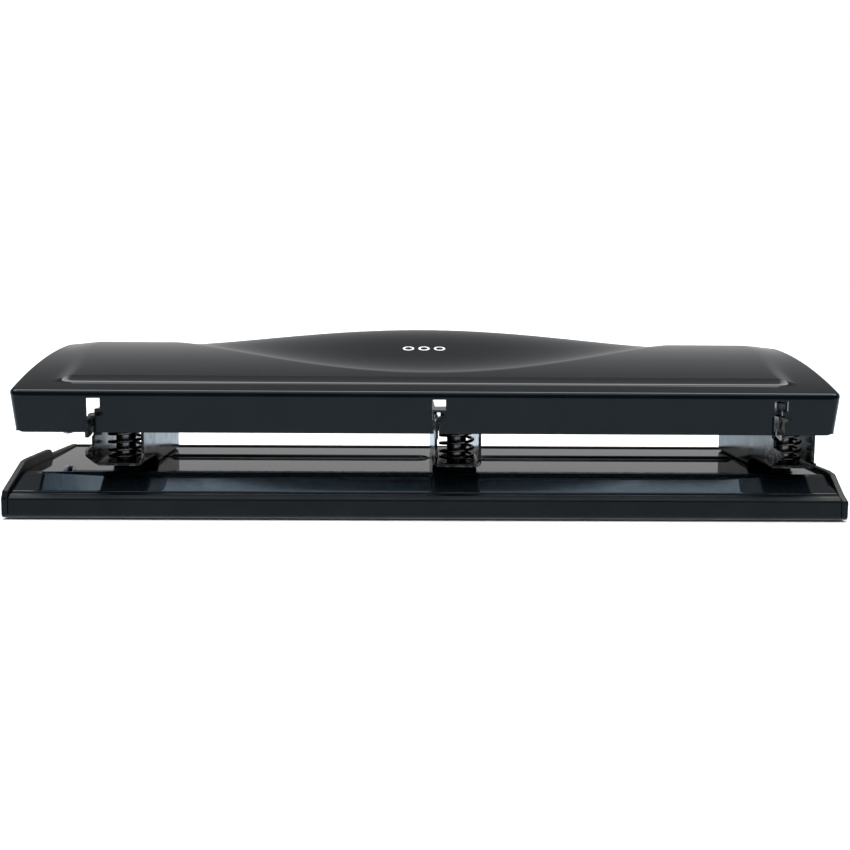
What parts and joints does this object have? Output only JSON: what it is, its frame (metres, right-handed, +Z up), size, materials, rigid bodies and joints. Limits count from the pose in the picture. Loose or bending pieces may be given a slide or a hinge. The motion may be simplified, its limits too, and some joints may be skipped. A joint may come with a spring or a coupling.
{
  "type": "hole punch",
  "caption": "Desktop lever hole punch with a sprung steel lid, punch heads on a glossy base plate and a pull-off chip tray.",
  "frame": {"origin": "middle of the underside of the rubber pads, in plan the middle of the base", "axes": "+Z up, +Y to the hinge side (back), +X to the user's right"},
  "size_m": [0.264, 0.0826, 0.057],
  "materials": {
    "lid_enamel": "gloss black baked enamel",
    "base_enamel": "gloss black baked enamel",
    "head_enamel": "gloss black, thin",
    "tray_plastic": "satin moulded black",
    "rubber": "matt",
    "hardened_steel": "ground",
    "spring_steel": "drawn wire, oiled",
    "zinc_steel": "bright zinc plate",
    "bare_steel": "cold rolled",
    "nylon": "natural nylon"
  },
  "bodies": {
    "tray": {"chip_tray": "tray_plastic", "tray_pads": "rubber"},
    "chassis": {"base_plate": "base_enamel", "frame_rivets": "zinc_steel", "hinge_rod": "zinc_steel", "rod_caps": "zinc_steel", "left_die": "hardened_steel", "left_frame": "head_enamel", "left_guide": "zinc_steel", "left_spring": "spring_steel", "center_die": "hardened_steel", "center_frame": "head_enamel", "center_guide": "zinc_steel", "center_spring": "spring_steel", "right_die": "hardened_steel", "right_frame": "head_enamel", "right_guide": "zinc_steel", "right_spring": "spring_steel"},
    "lid": {"lever": "lid_enamel", "press_bar": "bare_steel", "press_pads": "nylon"},
    "left_plunger": {"left_pin": "hardened_steel", "left_washer": "zinc_steel", "left_ring": "spring_steel"},
    "center_plunger": {"center_pin": "hardened_steel", "center_washer": "zinc_steel", "center_ring": "spring_steel"},
    "right_plunger": {"right_pin": "hardened_steel", "right_washer": "zinc_steel", "right_ring": "spring_steel"}
  },
  "joints": [
    {"name": "tray_release", "type": "slide", "parent": "tray", "child": "chassis", "axis": [0, 0, 1], "range_m": [0, 0.02]},
    {"name": "lever_press", "type": "hinge", "parent": "chassis", "child": "lid", "pos_m": [0, 0.02875, 0.0226], "axis": [1, 0, 0], "range_deg": [0, 4], "stiffness_Nm_per_rad": 6.7, "springref_deg": -4.87},
    {"name": "left_punch", "type": "slide", "parent": "chassis", "child": "left_plunger", "axis": [0, 0, -1], "range_m": [0, 0.0034], "deforming": ["left_spring"]},
    {"name": "center_punch", "type": "slide", "parent": "chassis", "child": "center_plunger", "axis": [0, 0, -1], "range_m": [0, 0.0034], "deforming": ["center_spring"]},
    {"name": "right_punch", "type": "slide", "parent": "chassis", "child": "right_plunger", "axis": [0, 0, -1], "range_m": [0, 0.0034], "deforming": ["right_spring"]}
  ],
  "couplings": [
    {"joint": "left_punch", "follows": "lever_press", "m_per_rad": 0.0472},
    {"joint": "center_punch", "follows": "lever_press", "m_per_rad": 0.0472},
    {"joint": "right_punch", "follows": "lever_press", "m_per_rad": 0.0472}
  ]
}
